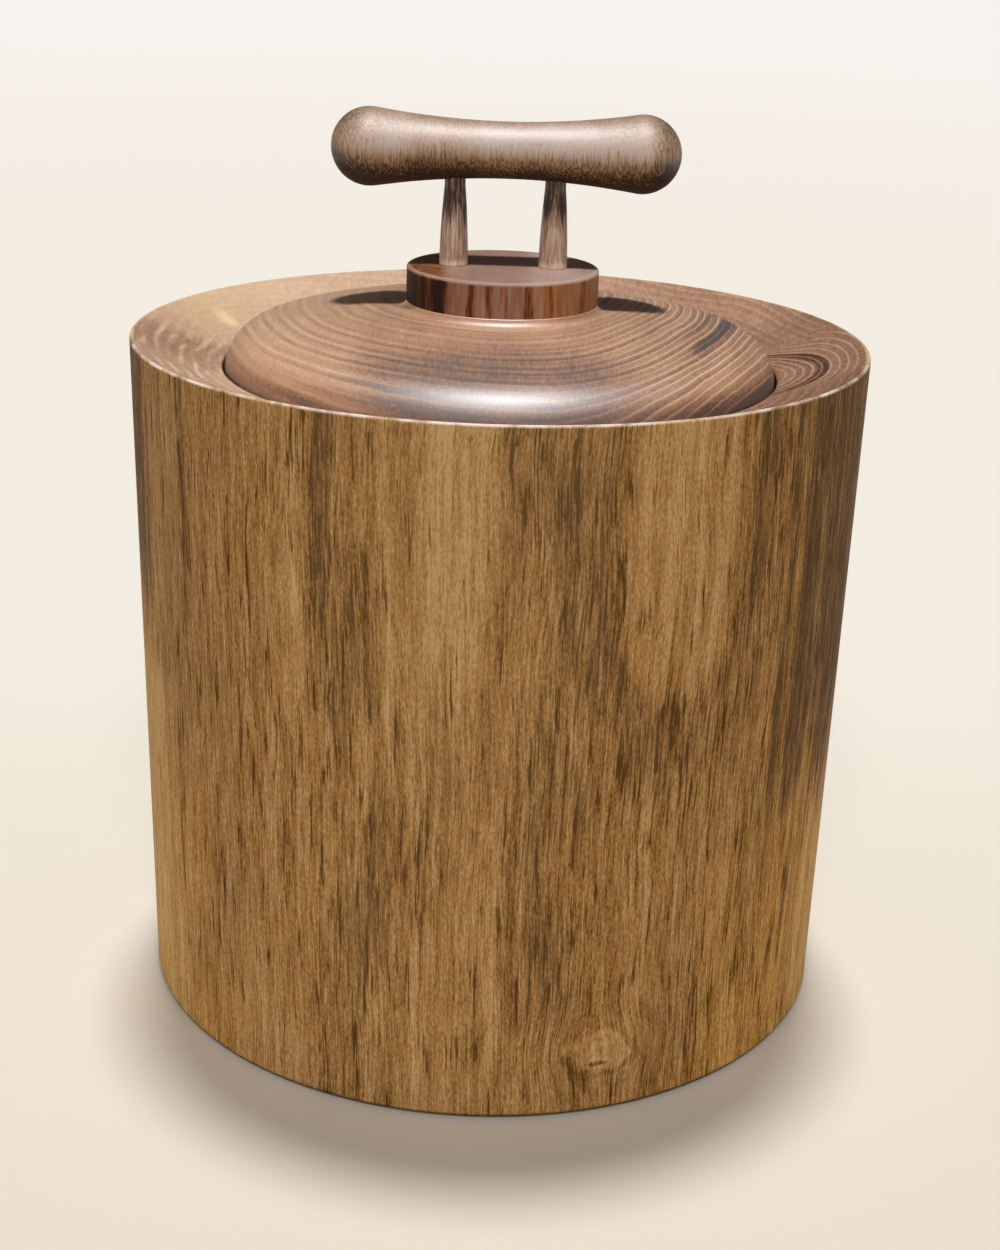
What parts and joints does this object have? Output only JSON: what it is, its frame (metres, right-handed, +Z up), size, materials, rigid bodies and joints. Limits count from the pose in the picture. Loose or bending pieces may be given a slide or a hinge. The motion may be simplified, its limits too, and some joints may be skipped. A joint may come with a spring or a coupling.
{
  "type": "lidded wooden pot",
  "caption": "Turned wooden pot with a dished rim, a lift-out liner, and a domed lid lifted off by a crossbar on slim posts. Keeps dry or cool food in a kitchen.",
  "frame": {"origin": "centre of the face that the pot stands on", "axes": "+Z up along the pot's axis, X along the crossbar, -Y towards the side that the picture shows"},
  "size_m": [0.1999, 0.2, 0.2455],
  "materials": {
    "pot_wood": "oiled satin",
    "base_wood": "oiled satin",
    "felt": "felt",
    "liner_plastic": "satin moulded",
    "lid_wood": "oiled satin",
    "boss_wood": "oiled satin",
    "post_wood": "oiled satin",
    "bar_wood": "oiled, polished by hands",
    "screw_steel": "zinc plated"
  },
  "bodies": {
    "pot": {"pot_body": "pot_wood", "base_disc": "base_wood", "base_pad": "felt"},
    "liner": {"inner_liner": "liner_plastic"},
    "lid": {"lid_dome": "lid_wood", "lid_boss": "boss_wood", "boss_screw": "screw_steel", "left_post": "post_wood", "right_post": "post_wood", "crossbar": "bar_wood", "lid_plate": "liner_plastic", "lid_plate_screws": "screw_steel"}
  },
  "joints": [
    {"name": "liner_lift", "type": "slide", "parent": "pot", "child": "liner", "axis": [0, 0, 1], "range_m": [0, 0.2]},
    {"name": "lid_lift", "type": "slide", "parent": "liner", "child": "lid", "axis": [0, 0, 1], "range_m": [0, 0.12]}
  ]
}
